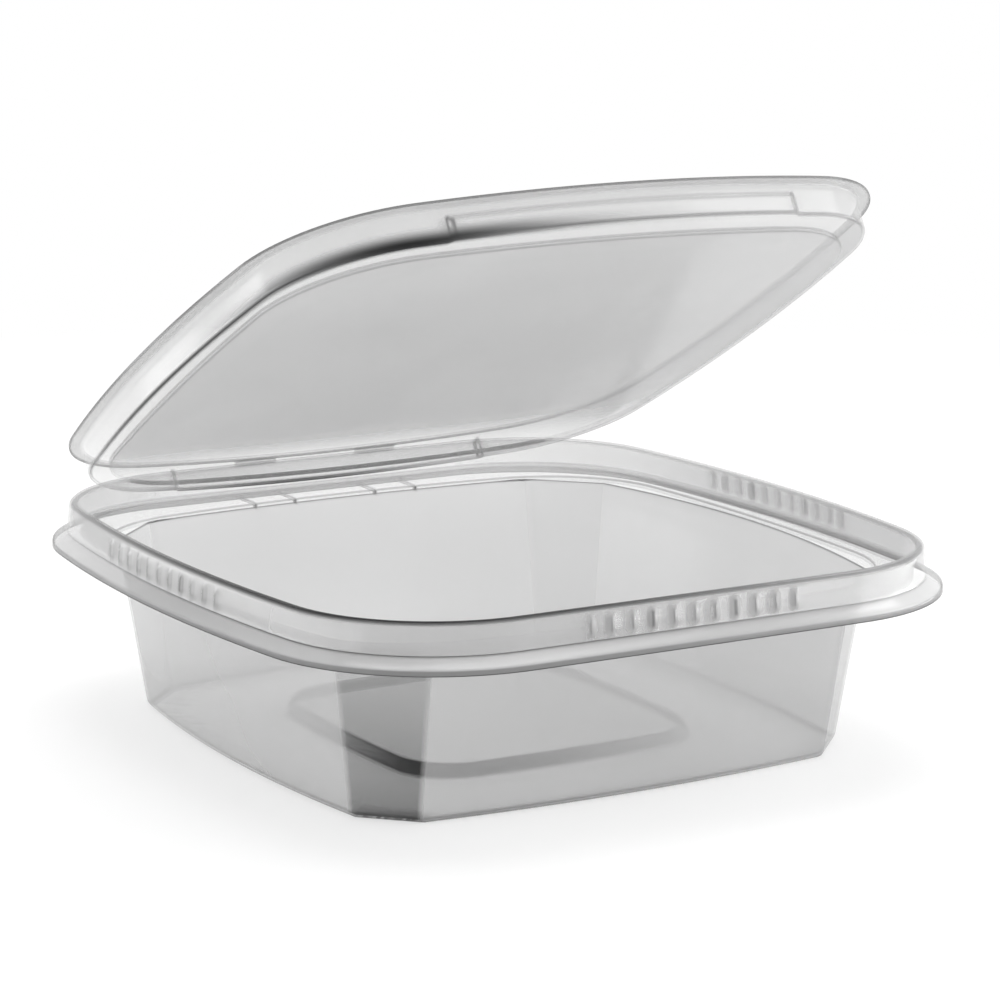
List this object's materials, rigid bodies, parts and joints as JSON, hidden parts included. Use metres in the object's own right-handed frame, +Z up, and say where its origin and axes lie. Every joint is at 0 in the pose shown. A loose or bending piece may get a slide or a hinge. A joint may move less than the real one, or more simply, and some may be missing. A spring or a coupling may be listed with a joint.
{
  "type": "hinged plastic clamshell pack",
  "caption": "Clear thermoformed food pack: square tub with chamfered corners, double-walled rim with a sloping flange, and a hinged plug lid standing part open.",
  "frame": {"origin": "on the table, under the middle of the tub", "axes": "+Z up, +Y towards the hinge at the back, +X to the right seen from the front"},
  "size_m": [0.1692, 0.1824, 0.1308],
  "materials": {
    "clear_pet_base": "clear gloss",
    "clear_pet_lid": "clear gloss"
  },
  "bodies": {
    "base": {"base_tub": "clear_pet_base"},
    "lid": {"lid": "clear_pet_lid"}
  },
  "joints": [
    {"name": "lid_hinge", "type": "hinge", "parent": "base", "child": "lid", "pos_m": [0, 0.085, 0.04855], "axis": [-1, 0, 0], "range_deg": [-29, 151]}
  ]
}
